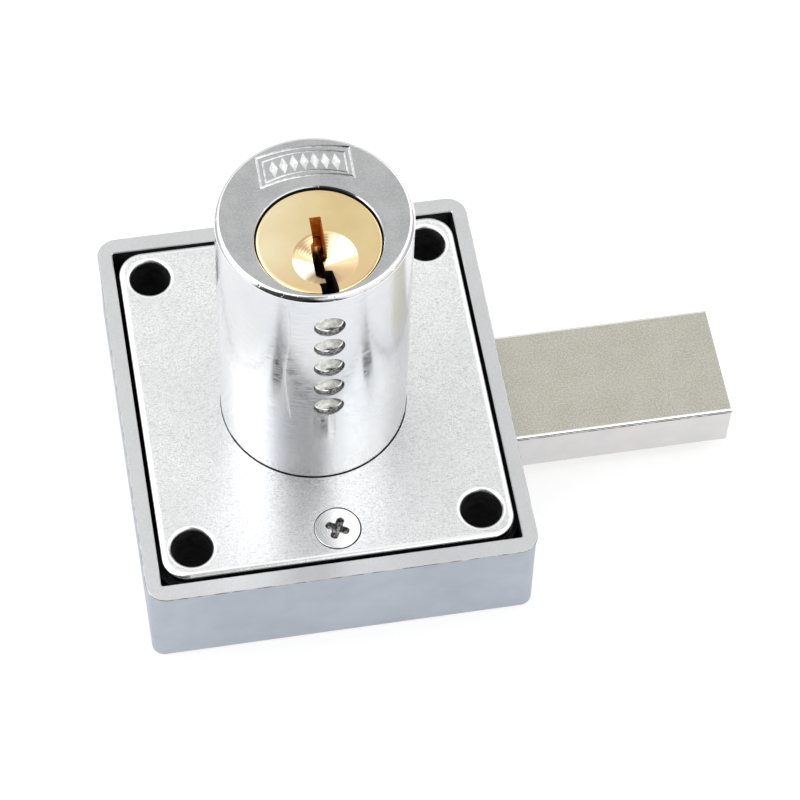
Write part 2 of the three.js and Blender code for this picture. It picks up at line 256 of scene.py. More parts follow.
class Finish:
    """A metal finish: its plain colour and roughness, and short calls that add patterns."""

    def __init__(self, name, colour, roughness, metallic=1.0):
        self.material = bpy.data.materials.new(name)
        self.material.use_nodes = True
        self.nodes = self.material.node_tree.nodes
        self.links = self.material.node_tree.links
        self.shader = self.nodes["Principled BSDF"]
        self.shader.inputs["Base Color"].default_value = (*colour, 1)
        self.shader.inputs["Roughness"].default_value = roughness
        self.shader.inputs["Metallic"].default_value = metallic
        place = self.nodes.new("ShaderNodeTexCoord")
        self.place = self.maths("MULTIPLY", place.outputs["Object"], (1 / MM,) * 3, vector=True)

    def maths(self, operation, first, second=0.0, vector=False):
        node = self.nodes.new("ShaderNodeVectorMath" if vector else "ShaderNodeMath")
        node.operation = operation
        for socket, value in zip(node.inputs, (first, second)):
            self.feed(socket, value)
        return node.outputs["Vector"] if vector else node.outputs["Value"]

    def feed(self, socket, value):
        """Gives a socket another socket's value, a number, a vector or a colour."""
        if isinstance(value, bpy.types.NodeSocket):
            self.links.new(value, socket)
        else:
            socket.default_value = (*value, 1) if socket.type == "RGBA" else value

    def noise(self, scale, detail=2.0, rough=0.5, stretch=(1, 1, 1), shift=(0, 0, 0)):
        """Noise from 0 to 1; scale is in bumps per millimetre, before the place is stretched."""
        place = self.nodes.new("ShaderNodeMapping")
        self.links.new(self.place, place.inputs["Vector"])
        place.inputs["Scale"].default_value = stretch
        place.inputs["Location"].default_value = shift
        node = self.nodes.new("ShaderNodeTexNoise")
        node.inputs["Scale"].default_value = scale
        node.inputs["Detail"].default_value = detail
        node.inputs["Roughness"].default_value = rough
        self.links.new(place.outputs["Vector"], node.inputs["Vector"])
        return node.outputs["Fac"]

    def ramp(self, value, low, high, start=0.0, end=1.0):
        return smooth_range(self.material.node_tree, value, low, high, start, end)

    def axes(self):
        node = self.nodes.new("ShaderNodeSeparateXYZ")
        self.links.new(self.place, node.inputs["Vector"])
        return node.outputs

    def mix(self, share, first, second):
        """A colour between two colours."""
        node = self.nodes.new("ShaderNodeMix")
        node.data_type = "RGBA"
        self.feed(node.inputs["Factor"], share)
        colour_a, colour_b = [s for s in node.inputs if s.type == "RGBA"]
        self.feed(colour_a, first)
        self.feed(colour_b, second)
        return [s for s in node.outputs if s.type == "RGBA"][0]

    def colour(self, socket):
        self.links.new(socket, self.shader.inputs["Base Color"])

    def blend(self, value, low, high, first, second):
        """Base colour that goes from first to second as a value goes from low to high."""
        self.colour(self.mix(self.ramp(value, low, high), first, second))

    def roughness(self, value, low, high, least, most):
        """Roughness that goes from least to most as a value goes from low to high."""
        self.links.new(self.ramp(value, low, high, least, most), self.shader.inputs["Roughness"])

    def from_centre(self, centre):
        """Distances along X and Y from an upright axis through centre."""
        x, y, _ = self.axes()
        return self.maths("SUBTRACT", x, centre[0]), self.maths("SUBTRACT", y, centre[1])

    def bump(self, height, depth):
        """Bumps up to depth millimetres high, on top of those added before."""
        node = self.nodes.new("ShaderNodeBump")
        node.inputs["Strength"].default_value = 1.0
        node.inputs["Distance"].default_value = depth * MM
        self.links.new(height, node.inputs["Height"])
        before = self.shader.inputs["Normal"].links
        if before:
            self.links.new(before[0].from_socket, node.inputs["Normal"])
        self.links.new(node.outputs["Normal"], self.shader.inputs["Normal"])


# ---------------- materials


def cast_wall():
    """Blue-grey satin plating on the die-cast case."""
    skin = Finish("cast_wall", (0.43, 0.468, 0.526), 0.42)
    skin.blend(skin.noise(0.12, 3), 0.3, 0.7, (0.41, 0.447, 0.505), (0.45, 0.488, 0.548))
    skin.roughness(skin.noise(0.5, 2), 0.3, 0.7, 0.38, 0.47)
    skin.bump(skin.noise(1.2, 4, 0.6), 0.006)
    pit = skin.ramp(skin.noise(1.6, 1, shift=(7, 3, 1)), 0.72, 0.78)
    skin.bump(pit, -0.015)
    return skin.material


def ground_rim():
    """The brighter ground edge around the case."""
    skin = Finish("ground_rim", (0.60, 0.605, 0.61), 0.34)
    skin.blend(skin.noise(5, 3, 0.7), 0.3, 0.7, (0.57, 0.575, 0.58), (0.63, 0.635, 0.64))
    skin.roughness(skin.noise(0.3, 2), 0.3, 0.7, 0.31, 0.37)
    skin.bump(skin.noise(3, 3, 0.6), 0.003)
    return skin.material


def rim_edge_shade():
    """Painted shade: a dark line on the rounded edge outside the ground rim."""
    skin = Finish("rim_edge_shade", (0.30, 0.29, 0.285), 0.4)
    skin.blend(skin.noise(0.8, 2), 0.35, 0.65, (0.16, 0.155, 0.15), (0.55, 0.545, 0.54))
    return skin.material


def inside_painted_shade():
    """Painted shade: a near-black, dull colour for the inside of the case, the bores and the gaps, where
    shade falls.
    """
    skin = Finish("inside_painted_shade", (0.02, 0.02, 0.022), 0.8, 0.0)
    skin.shader.inputs["Specular IOR Level"].default_value = 0.2
    skin.blend(skin.noise(0.8, 3), 0.3, 0.7, (0.006, 0.006, 0.007), (0.024, 0.024, 0.026))
    skin.bump(skin.noise(2, 3), 0.02)
    return skin.material


def plate_face():
    """Fine-grained plating with short dark dashes, and painted shade that makes it a little darker in its
    front corners.
    """
    skin = Finish("plate_face", (0.78, 0.785, 0.785), 0.24, 0.65)
    grain = skin.noise(6.5, 2, 0.8)
    dashes = skin.noise(3.2, 1, 0.5, stretch=(0.4, 2.6, 1), shift=(3, 8, 2))
    cloud = skin.noise(0.16, 2, shift=(5, 5, 0))
    base = skin.mix(skin.ramp(cloud, 0.3, 0.7), (0.83, 0.834, 0.836), (0.87, 0.873, 0.873))
    # Painted shade: the front corners, away from the barrel, are darkened.
    x, y, _ = skin.axes()
    sideways = skin.ramp(skin.maths("ABSOLUTE", x), 6, 16)
    corner_shade = skin.maths("MULTIPLY", sideways, skin.ramp(y, -21, -6, 0.6, 0.0))
    base = skin.mix(corner_shade, base, (0.74, 0.744, 0.748))
    speckle = skin.mix(skin.ramp(grain, 0.42, 0.62), base, (0.61, 0.615, 0.62))
    skin.colour(skin.mix(skin.ramp(dashes, 0.62, 0.70, 0.0, 0.7), speckle, (0.42, 0.425, 0.43)))
    skin.roughness(cloud, 0.3, 0.7, 0.25, 0.30)
    skin.bump(grain, 0.006)
    return skin.material


def polished_edge():
    """Bright rounded edge of the cover plate and the stoppers."""
    skin = Finish("polished_edge", (0.94, 0.94, 0.935), 0.13)
    skin.roughness(skin.noise(1.5, 2), 0.3, 0.7, 0.1, 0.17)
    skin.bump(skin.noise(2.5, 2), 0.002)
    return skin.material


def hole_edge():
    """Soft bright mouths of the mounting holes."""
    skin = Finish("hole_edge", (0.93, 0.93, 0.93), 0.33)
    skin.roughness(skin.noise(1.5, 2), 0.3, 0.7, 0.28, 0.38)
    return skin.material


def satin_edge_shade():
    """Painted shade: a darker, softer copy of the polished edge along the bolt side of the cover plate."""
    skin = Finish("satin_edge_shade", (0.78, 0.785, 0.79), 0.35)
    skin.blend(skin.noise(1, 2), 0.35, 0.65, (0.74, 0.745, 0.75), (0.84, 0.845, 0.85))
    return skin.material


def engraving():
    """Fresh metal in the engraved badge."""
    skin = Finish("engraving", (0.80, 0.80, 0.805), 0.3)
    skin.blend(skin.noise(2, 2), 0.35, 0.65, (0.90, 0.90, 0.905), (0.72, 0.725, 0.73))
    return skin.material


def worn_edge():
    """The barrel's chamfered end, nicked by handling."""
    skin = Finish("worn_edge", (0.93, 0.93, 0.935), 0.09)
    skin.roughness(skin.noise(1.5, 2), 0.3, 0.7, 0.07, 0.14)
    nick = skin.ramp(skin.noise(1.1, 2, shift=(6, 2, 4)), 0.60, 0.68)
    skin.bump(nick, -0.018)
    skin.bump(skin.noise(0.9, 2, shift=(1, 7, 3)), 0.012)
    return skin.material


SCRATCH = {"azimuth": -24.5, "width": 0.2, "low": 25.5, "high": 51, "sway": 0.3, "period": 20}


def long_scratch(skin):
    """1 along one wandering scratch down the front of the barrel, 0 elsewhere."""
    x, y, z = skin.axes()
    across = skin.maths("SUBTRACT", x, barrel_axis[0])
    forward = skin.maths("SUBTRACT", barrel_axis[1], y)
    angle = skin.maths("ARCTAN2", across, forward)
    offset = skin.maths("SUBTRACT", angle, math.radians(SCRATCH["azimuth"]))
    along = skin.maths("MULTIPLY", offset, BARREL_RADIUS)
    phase = skin.maths("MULTIPLY", z, 2 * math.pi / SCRATCH["period"])
    sway = skin.maths("MULTIPLY", skin.maths("SINE", phase), SCRATCH["sway"])
    reach = skin.maths("ABSOLUTE", skin.maths("SUBTRACT", along, sway))
    line = skin.ramp(reach, SCRATCH["width"] * 0.2, SCRATCH["width"] * 0.6, 1.0, 0.0)
    starts = skin.ramp(z, SCRATCH["low"], SCRATCH["low"] + 4)
    ends = skin.ramp(z, SCRATCH["high"] - 4, SCRATCH["high"], 1.0, 0.0)
    return skin.maths("MULTIPLY", line, skin.maths("MULTIPLY", starts, ends))


def barrel_side():
    """Bright plating with streaks along the barrel, fine lines round it and one long scratch."""
    skin = Finish("barrel_side", (0.78, 0.80, 0.82), 0.15)
    skin.shader.inputs["Anisotropic"].default_value = 0.6
    skin.shader.inputs["Anisotropic Rotation"].default_value = 0.25
    tangent = skin.nodes.new("ShaderNodeTangent")
    tangent.direction_type = "RADIAL"
    tangent.axis = "Z"
    skin.links.new(tangent.outputs["Tangent"], skin.shader.inputs["Tangent"])
    streak = skin.noise(1.6, 3, 0.6, stretch=(1, 1, 0.05))
    patch = skin.noise(0.16, 2, shift=(2, 9, 4), stretch=(1, 1, 0.35))
    skin.blend(patch, 0.35, 0.7, (0.765, 0.778, 0.79), (0.715, 0.733, 0.765))
    lines = skin.noise(3, 2, 0.6, stretch=(0.25, 0.25, 2.4), shift=(1, 1, 5))
    skin.roughness(lines, 0.36, 0.64, 0.1, 0.26)
    skin.bump(streak, 0.0022)
    skin.bump(lines, 0.003)
    skin.bump(long_scratch(skin), -0.05)
    return skin.material


def barrel_face():
    """Satin turned end of the barrel."""
    skin = Finish("barrel_face", (0.47, 0.475, 0.48), 0.36)
    grain = skin.noise(4.5, 2, 0.8)
    cloud = skin.noise(0.4, 3)
    base = skin.mix(skin.ramp(cloud, 0.3, 0.7), (0.375, 0.39, 0.39), (0.455, 0.455, 0.46))
    skin.colour(skin.mix(skin.ramp(grain, 0.4, 0.65, 0.0, 0.6), base, (0.54, 0.545, 0.55)))
    skin.bump(grain, 0.004)
    return skin.material


def rings(skin, centre, pitch, depth):
    """Turning marks: fine rings around an upright axis through centre."""
    squares = [skin.maths("POWER", distance, 2.0) for distance in skin.from_centre(centre)]
    radius = skin.maths("SQRT", skin.maths("ADD", *squares))
    wave = skin.maths("SINE", skin.maths("MULTIPLY", radius, 2 * math.pi / pitch))
    skin.bump(wave, depth)


def plug_brass(centre):
    """Turned brass with painted shade that deepens it toward the right and the near side."""
    skin = Finish("plug_brass", (0.83, 0.67, 0.38), 0.15)
    skin.roughness(skin.noise(1.2, 2), 0.3, 0.7, 0.1275, 0.18)
    across, beyond = skin.from_centre(centre)
    # Painted shade: paler on the left, deeper toward the right and on the near side.
    side = skin.ramp(across, -6.5, 3.0)
    cloud = skin.ramp(skin.noise(0.3, 3), 0.3, 0.7)
    pale = skin.mix(side, (0.92, 0.80, 0.53), (0.80, 0.635, 0.34))
    deep = skin.mix(side, (0.88, 0.74, 0.46), (0.74, 0.575, 0.29))
    near = skin.ramp(beyond, -6.5, -0.5, 1.0, 0.0)
    skin.colour(skin.mix(near, skin.mix(cloud, pale, deep), (0.80, 0.60, 0.33)))
    rings(skin, centre, 0.42, 0.0011)
    return skin.material


def dish_brass(centre):
    """Bare brass in the turned dish, with two painted highlight fans where the turning marks catch the light.
    """
    skin = Finish("dish_brass", (0.90, 0.74, 0.50), 0.14)
    across, beyond = skin.from_centre(centre)
    angle = skin.maths("ARCTAN2", beyond, across)
    # Painted highlight: two bright fans either side of the dish.
    wave = skin.maths("COSINE", skin.maths("MULTIPLY", skin.maths("SUBTRACT", angle, HIGHLIGHT_FAN_ANGLE), 2.0))
    highlight_ripple = skin.maths("MULTIPLY", skin.maths("SINE", skin.maths("MULTIPLY", angle, 17.0)), 0.2)
    skin.blend(skin.maths("ADD", wave, highlight_ripple), 0.35, 0.9, (0.82, 0.59, 0.34), (1.0, 0.94, 0.80))
    rings(skin, centre, 0.3, 0.002)
    return skin.material


def keyway_brass_shade():
    """Dull brass down inside the keyway, painted darker and orange-brown as shade and bounce light."""
    skin = Finish("keyway_brass_shade", (0.60, 0.30, 0.07), 0.55, 0.55)
    skin.blend(skin.noise(1.2, 3), 0.3, 0.7, (0.78, 0.34, 0.045), (1.0, 0.54, 0.12))
    return skin.material


def bolt_edge():
    """Rounded edges of the bolt, rubbed bright."""
    skin = Finish("bolt_edge", (0.93, 0.925, 0.90), 0.11)
    skin.roughness(skin.noise(1.2, 2), 0.3, 0.7, 0.1, 0.17)
    skin.bump(skin.noise(2.5, 2), 0.006)
    return skin.material


def bolt_line_reflection():
    """Painted dark reflection: a broken dark line under the bolt's front edge."""
    skin = Finish("bolt_line_reflection", (0.25, 0.24, 0.24), 0.4)
    skin.blend(skin.noise(1.4, 3), 0.4, 0.6, (0.07, 0.065, 0.07), (0.42, 0.41, 0.41))
    return skin.material


def bolt_face():
    """Warm worn nickel on the broad faces of the bolt, painted darker than the narrow faces as shade."""
    skin = Finish("bolt_face", (0.52, 0.505, 0.43), 0.33)
    cloud = skin.noise(0.35, 3, 0.6)
    tint = skin.mix(skin.ramp(cloud, 0.35, 0.65), (0.405, 0.40, 0.337), (0.45, 0.433, 0.377))
    grain = skin.noise(5, 2, 0.8)
    tint = skin.mix(skin.ramp(grain, 0.38, 0.64, 0.0, 0.8), tint, (0.64, 0.625, 0.545))
    fleck = skin.noise(2.6, 1, 0.5, stretch=(0.55, 1.6, 1), shift=(4, 1, 0))
    skin.colour(skin.mix(skin.ramp(fleck, 0.76, 0.82, 0.0, 0.4), tint, (0.72, 0.71, 0.65)))
    skin.roughness(skin.noise(0.4, 2), 0.3, 0.7, 0.3, 0.37)
    skin.bump(grain, 0.003)
    return skin.material


def bolt_side():
    """Smoother nickel on the narrow faces of the bolt, painted lighter than the broad faces as lit sides."""
    skin = Finish("bolt_side", (0.66, 0.65, 0.645), 0.3)
    cloud = skin.noise(0.3, 3, shift=(1, 1, 1))
    skin.blend(cloud, 0.3, 0.7, (0.64, 0.635, 0.635), (0.69, 0.665, 0.66))
    skin.bump(skin.noise(2.5, 3), 0.002)
    return skin.material


def bright_zinc(side, centre):
    """Bright turned zinc of a cover screw, with painted light that makes it paler toward the right."""
    skin = Finish(f"bright_zinc_{side}", (0.92, 0.925, 0.92), 0.26)
    # Painted light: the head is paler toward the right.
    right = skin.ramp(skin.from_centre(centre)[0], -2.6, 1.0)
    pale = skin.mix(right, (0.84, 0.845, 0.845), (0.97, 0.97, 0.955))
    grain = skin.noise(4, 2, 0.7, shift=(*centre, 0))
    skin.colour(skin.mix(skin.ramp(grain, 0.45, 0.7, 0.0, 0.4), pale, (0.74, 0.75, 0.745)))
    rings(skin, centre, 0.3, 0.001)
    return skin.material


def recess_shade():
    """Painted shade in the screws' recesses and round the stoppers."""
    skin = Finish("recess_shade", (0.26, 0.26, 0.25), 0.4)
    skin.blend(skin.noise(3.6, 2), 0.38, 0.62, (0.10, 0.10, 0.095), (0.42, 0.42, 0.41))
    return skin.material


def stopper_metal():
    """Uneven nickel of the dished stoppers, with painted shade that darkens them toward the right."""
    skin = Finish("stopper_metal", (0.52, 0.52, 0.49), 0.17)
    cloud = skin.ramp(skin.noise(2.4, 2), 0.3, 0.7)
    # Painted shade: darker toward the right of each stopper.
    side = skin.ramp(skin.axes()[0], -0.4, 1.6)
    pale = skin.mix(side, (0.74, 0.74, 0.70), (0.40, 0.40, 0.37))
    deep = skin.mix(side, (0.52, 0.52, 0.485), (0.24, 0.24, 0.22))
    skin.colour(skin.mix(cloud, pale, deep))
    skin.bump(skin.noise(2.2, 2), 0.03)
    return skin.material


def inner_steel():
    """Plain steel of the crank, its pin and its screws."""
    skin = Finish("inner_steel", (0.55, 0.56, 0.57), 0.35)
    grain = skin.noise(1.5, 3, stretch=(0.15, 1, 1))
    skin.blend(grain, 0.3, 0.7, (0.48, 0.49, 0.50), (0.62, 0.63, 0.64))
    skin.bump(skin.noise(2, 3, stretch=(0.15, 1, 1)), 0.004)
    return skin.material


def pin_brass():
    """Plain brass of the pins, a little darker in soft clouds."""
    skin = Finish("pin_brass", (0.82, 0.58, 0.22), 0.22)
    skin.blend(skin.noise(0.3, 3), 0.3, 0.7, (0.82, 0.58, 0.22), (0.738, 0.522, 0.198))
    skin.roughness(skin.noise(1.2, 2), 0.3, 0.7, 0.187, 0.264)
    skin.bump(skin.noise(3, 2, stretch=(1, 4, 1)), 0.003)
    return skin.material


def spring_wire():
    """Drawn wire of the pin springs."""
    skin = Finish("spring_wire", (0.62, 0.63, 0.64), 0.25)
    skin.roughness(skin.noise(2, 2), 0.3, 0.7, 0.2, 0.32)
    return skin.material


INSIDE_SHADE = inside_painted_shade()
EDGE = polished_edge()
STEEL = inner_steel()
BRASS_PIN = pin_brass()
WIRE = spring_wire()
STOPPER = stopper_metal()
RECESS_SHADE = recess_shade()

# ---------------- case and cover plate

RECESS_SIZE = (42.5, 47.0)
CASE_FLOOR = 1.7
CASE_CORNER = 2.4
FOOT_TAPER = 0.8  # how much tighter the corners are at the back
BACK_ROUND = 0.5
LIP = 0.14  # how far the ground rim stands out over the wall
LIP_HEIGHT = 0.3
RIM_EDGE = (0.12, 0.1)  # inset and drop of the ground rim's edge
HOLE = (17.1, 19.1)  # mounting hole centres, each side of the middle
HOLE_RADIUS = 2.43
HOLE_LIP = 0.48
HOLE_DROP = 0.42  # how far the rounded mouth of a mounting hole reaches down
BOSS_RADIUS = 4.5
POST_RADIUS = 3.4
POST_THREAD = 1.55  # radius of the screw hole in a post
BOLT_GAP = 0.15  # play between the bolt and its window
RIB_GAP = 0.3  # between the bolt and the ribs that guide it
RIB_WIDTH = {"lower": 1.7, "upper": 1.5}
PLATE_CORNER = 3.1
PLATE_EDGE = (0.85, 0.4)  # reach and drop of the plate's rounded edge
BORE_GAP = 0.04
BORE_SHIFT = 0.035  # the barrel stands against the rear of its bore
SCREW_GAP = 0.1
SCREW_SHIFT = (0.02, -0.07)  # the screws stand a little off the middle of their seats
SCREW_THREAD = (1.15, 1.38, 0.5)  # root radius, crest radius and pitch
SCREW_TURN = {"front": -28, "rear": 35}  # how far each cross recess is turned

case_low, case_high, _ = node_box("case")
plate_low, plate_high, _ = node_box("cover_plate")
barrel_low, barrel_high, barrel_mid = node_box("barrel")
plug_low, plug_high, plug_mid = node_box("plug")
bolt_low, bolt_high, _ = node_box("bolt")
case_size = case_high - case_low
plate_size = plate_high - plate_low
barrel_axis = (barrel_mid.x, barrel_mid.y)
plug_axis = (plug_mid.x, plug_mid.y)
plate_top = plate_high.z
hole_centres = [(sx * HOLE[0], sy * HOLE[1]) for sx in (-1, 1) for sy in (-1, 1)]
screw_boxes = {side: node_box(f"cover_screw_{side}") for side in ("front", "rear")}
BARREL_RADIUS = 11.1
BOLT_HALF = 7.5
BOLT_ROUND = 0.4
BOLT_SHOULDER = 21.0  # where the bolt's wider tail begins


def make_case():
    wall_top = case_size.z - LIP_HEIGHT
    outer = [(inset + LIP, drop) for inset, drop in reversed(rounding(BACK_ROUND, BACK_ROUND, 6))]
    levels = outer + [(LIP, wall_top), (LIP * 0.5, wall_top + 0.1), (0, wall_top + 0.16)]
    levels += [(inset, case_size.z - drop) for inset, drop in rounding(*RIM_EDGE, 3)]
    shell = loft("case_shell", [
        rounded_rectangle(
            case_size.x - 2 * inset, case_size.y - 2 * inset,
            max(CASE_CORNER - inset - FOOT_TAPER * (1 - height / case_size.z), 0.4), height,
        )
        for inset, height in levels
    ])
    levels = [(0, CASE_FLOOR), (0, case_size.z - 0.1), (0.1, case_size.z), (0.1, case_size.z + OVERCUT)]
    recess = loft("recess", [
        rounded_rectangle(RECESS_SIZE[0] + 2 * outset, RECESS_SIZE[1] + 2 * outset, 0.25, height, steps=3)
        for outset, height in levels
    ])
    half = BOLT_HALF + BOLT_GAP
    window = slab("window", RECESS_SIZE[0] / 2 - 1, case_high.x + OVERCUT, -half, half,
                  bolt_low.z - BOLT_GAP, bolt_high.z + BOLT_GAP)
    combine(shell, [recess, window])
    root, boss_top, rib_top = CASE_FLOOR / 2, plate_low.z - 0.3, bolt_high.z - 0.2
    posts = [(0, box[2].y) for box in screw_boxes.values()]
    pillars = [(BOSS_RADIUS, centre) for centre in hole_centres]
    pillars += [(POST_RADIUS, centre) for centre in posts]
    inner = [turned("pillar", [(radius, root), (radius, boss_top)], centre, 48) for radius, centre in pillars]
    near, far = -BOLT_HALF - RIB_GAP, bolt_high.y + RIB_GAP
    inner += [
        slab("lower_rib", -18, RECESS_SIZE[0] / 2 - 4, near - RIB_WIDTH["lower"], near, root, rib_top),
        slab("upper_rib", -14, 14, far, far + RIB_WIDTH["upper"], root, rib_top),
    ]
    combine(shell, inner, "UNION")
    bevelled = [
        (HOLE_RADIUS + 1.3, -1), (HOLE_RADIUS + 0.3, 0), (HOLE_RADIUS, 0.3), (HOLE_RADIUS, ABOVE),
    ]
    drills = [turned("drill", bevelled, centre, 64) for centre in hole_centres]
    thread = [(POST_THREAD, screw_boxes["front"][0].z - 0.5), (POST_THREAD, ABOVE)]
    drills += [turned("thread", thread, centre, 32) for centre in posts]
    combine(shell, drills)

    def choose(face):
        x, y, z = face.center / MM
        if z > case_size.z - 0.14 and face.normal.z > 0.3:
            outside = abs(x) > RECESS_SIZE[0] / 2 + 0.3 or abs(y) > RECESS_SIZE[1] / 2 + 0.3
            # Painted shade: the rounded edge outside the ground rim is painted dark.
            return 3 if outside and 0.97 > face.normal.z and face.normal.y < 0.3 else 1
        inside = abs(x) < RECESS_SIZE[0] / 2 + 0.05 and abs(y) < RECESS_SIZE[1] / 2 + 0.05
        if inside and z > plate_top - 0.35 and face.normal.x < -0.9:
            return 1
        # Painted shade: the hollow inside the case gets the near-black inside colour.
        return 2 if inside and z > 0.35 else 0

    stand_for(shell, "case", [cast_wall(), ground_rim(), INSIDE_SHADE, rim_edge_shade()], choose, 30)


def make_cover_plate():
    levels = [(0.25, plate_low.z), (0.0, plate_low.z + 0.25)]
    levels += [(inset, plate_top - fall) for inset, fall in rounding(*PLATE_EDGE, 8)]
    plate = loft("cover", [
        rounded_rectangle(
            plate_size.x - 2 * inset, plate_size.y - 2 * inset, PLATE_CORNER - inset, height, steps=12,
        )
        for inset, height in levels
    ])
    lip = [(HOLE_RADIUS + outset, plate_top - fall) for outset, fall in rounding(HOLE_LIP, HOLE_DROP, 6)]
    profile = [(HOLE_RADIUS, plate_low.z - OVERCUT), *lip, (HOLE_RADIUS + HOLE_LIP, plate_top + OVERCUT)]
    drills = [turned("hole", profile, centre, 72) for centre in hole_centres]
    for side, (_, _, middle) in screw_boxes.items():
        wide = half_width(f"cover_screw_{side}") + SCREW_GAP
        profile = [(1.7, plate_low.z - OVERCUT), (1.7, plate_top - 1.2), (wide, plate_top - 0.22)]
        profile += [(wide, plate_top - 0.03), (wide + 0.03, plate_top), (wide + 0.03, plate_top + OVERCUT)]
        seat = (middle.x + SCREW_SHIFT[0], middle.y + SCREW_SHIFT[1])
        drills.append(turned("sink", profile, seat, 64))
    bore = BARREL_RADIUS + BORE_GAP
    drills.append(turned("bore", [
        (bore, plate_low.z - OVERCUT), (bore, plate_top - 0.06),
        (bore + 0.06, plate_top), (bore + 0.06, plate_top + OVERCUT),
    ], (barrel_axis[0], barrel_axis[1] - BORE_SHIFT), 128))
    combine(plate, drills)

    def choose(face):
        if face.normal.z > 0.995:
            return 0
        x, y, z = face.center / MM
        if min(math.dist((x, y), centre) for centre in hole_centres) < HOLE_RADIUS + HOLE_LIP:
            # Painted shade: the walls of the mounting holes are near-black.
            return 2 if z < plate_top - HOLE_LIP + 0.08 else 3
        if math.dist((x, y), barrel_axis) < BARREL_RADIUS + 0.5:
            # Painted shade: the front arc of the bore, round the barrel's foot, is near-black.
            return 2 if y < barrel_axis[1] - 4 else 1
        if x > plate_size.x / 2 - 1 and face.normal.x > 0.03:
            # Painted shade: the rounded edge along the bolt side gets the darker edge colour.
            return 4
        # Painted shade: the walls of the screw seats are near-black.
        in_seat = abs(x) < 3.2 and abs(abs(y) - screw_boxes["rear"][2].y) < 3.2 and z < plate_top - 0.02
        return 2 if in_seat else 1

    coats = [plate_face(), EDGE, INSIDE_SHADE, hole_edge(), satin_edge_shade()]
    stand_for(plate, "cover_plate", coats, choose, 50)


def plus_outline(arm, half, scale, turn, centre):
    """Cross with rounded arm ends and cut inner corners; half is half of an arm's width."""
    points = []
    for quarter in range(4):
        angle = math.radians(turn + 90 * quarter)
        local = [(half * 1.25, -half), (arm - half * 0.7, -half)]
        local += [
            (arm - half * 0.7 * (1 - math.cos(a)), half * math.sin(a))
            for a in [math.radians(d) for d in (-50, -25, 0, 25, 50)]
        ]
        local += [(arm - half * 0.7, half), (half * 1.25, half)]
        for x, y in local:
            x, y = x * scale, y * scale
            points.append((
                centre[0] + x * math.cos(angle) - y * math.sin(angle),
                centre[1] + x * math.sin(angle) + y * math.cos(angle),
            ))
    return points


def make_cover_screw(side):
    low, high, middle = screw_boxes[side]
    radius = half_width(f"cover_screw_{side}")
    top = high.z
    centre = (middle.x, middle.y)
    root, crest, pitch = SCREW_THREAD
    profile = [(0.3, low.z), (root, low.z + 0.6)]
    thread_low, thread_top = low.z + 0.8, top - 2.4
    for k in range(int((thread_top - thread_low) / pitch)):
        start = thread_low + k * pitch
        profile += [(root, start), (crest, start + pitch * 0.42), (crest, start + pitch * 0.58)]
    profile += [(root, thread_top), (1.4, thread_top + 0.2), (1.4, top - 1.15), (radius - 0.06, top - 0.2)]
    profile += [(radius, top - 0.14)]
    profile += [(radius - inset, top - drop) for inset, drop in rounding(0.1, 0.1, 3)]
    screw = turned(f"{side}_screw", profile, centre, 72)
    recess = loft("cross", [
        [(x, y, z) for x, y in plus_outline(1.4, 0.43, scale, SCREW_TURN[side], centre)]
        for scale, z in ((0.5, top - 0.95), (0.85, top - 0.6), (1.0, top - 0.06), (1.08, top + 0.02))
    ])
    combine(screw, [recess])

    def choose(face):
        reach = math.dist(face.center.xy / MM, centre)
        depth = top - face.center.z / MM
        in_cross = reach < 1.65 and depth < 1.3 and (face.normal.z < 0.995 or depth > 0.05)
        # Painted shade: the cross recess gets the dark recess colour.
        return 1 if in_cross else 0

    stand_for(screw, f"cover_screw_{side}", [bright_zinc(side, centre), RECESS_SHADE], choose, 32)


# ---------------- cylinder

TOP_EDGE = (  # inset and drop of the barrel's chamfered top edge, from the side up to the face
    (0, 0.52), (0.02, 0.45), (0.06, 0.39), (0.33, 0.12), (0.40, 0.07), (0.49, 0.025), (0.60, 0),
)
FLANGE_RADIUS = 13.2
FLANGE_HEIGHT = 0.8
MOUTH_RADIUS = 7.12
MOUTH_CHAMFER = 0.12
HEAD_RADIUS = 7.0
HEAD_EDGE = (0.45, 0.16)  # inset and drop of the plug's rounded edge
PLUG_BODY_RADIUS = 6.45
PLUG_BORE = 6.6
ARM_SCREW_HOLE = 1.15
CHAMBER = 1.5  # radius of the pin chambers
SPRING_GAP = 0.15  # between a spring and the end of its chamber
STOPPER_HOLE = 1.76
STOPPER_RIM = 0.22  # width of the steep wall round the stopper's hollow
STOPPER_DROP = 0.42
STOPPER_DISH = 0.45  # how much deeper the hollow is in its middle
KEYWAY = [
    (-0.62, 3.2), (-0.62, 0.2), (-0.97, -0.15), (-0.97, -4.3), (-0.07, -4.75), (-0.07, -5.45),
    (-0.85, -5.5), (-0.72, -6.1), (-0.72, -7.8), (1.18, -7.8), (1.18, -6.3), (0.95, -3.4),
    (0.2, -3.2), (0.2, -2.0), (0.7, -1.6), (0.66, 3.2),
]
KEYWAY_FLOOR = 26
HIGHLIGHT_FAN_ANGLE = math.radians(22)
DISH = {"x": 0.3, "y": -2.4, "radius": 3.5, "depth": 1.5}
CUT_RISE = 0.1  # how far an engraving cutter stands out of the face
LOZENGE = {"pitch": 1.17, "half_x": 0.5, "half_y": 1.15, "depth": 0.2}
BADGE_LINES = {"frame_line": (0.0, 0.3, 0.16), "inner_line": (0.62, 0.22, 0.12)}  # inset, width, depth
BADGE = {"half_width": 5.2, "outer": 8.75, "outer_crown": 0.75, "inner": 4.7, "inner_crown": 0.95}


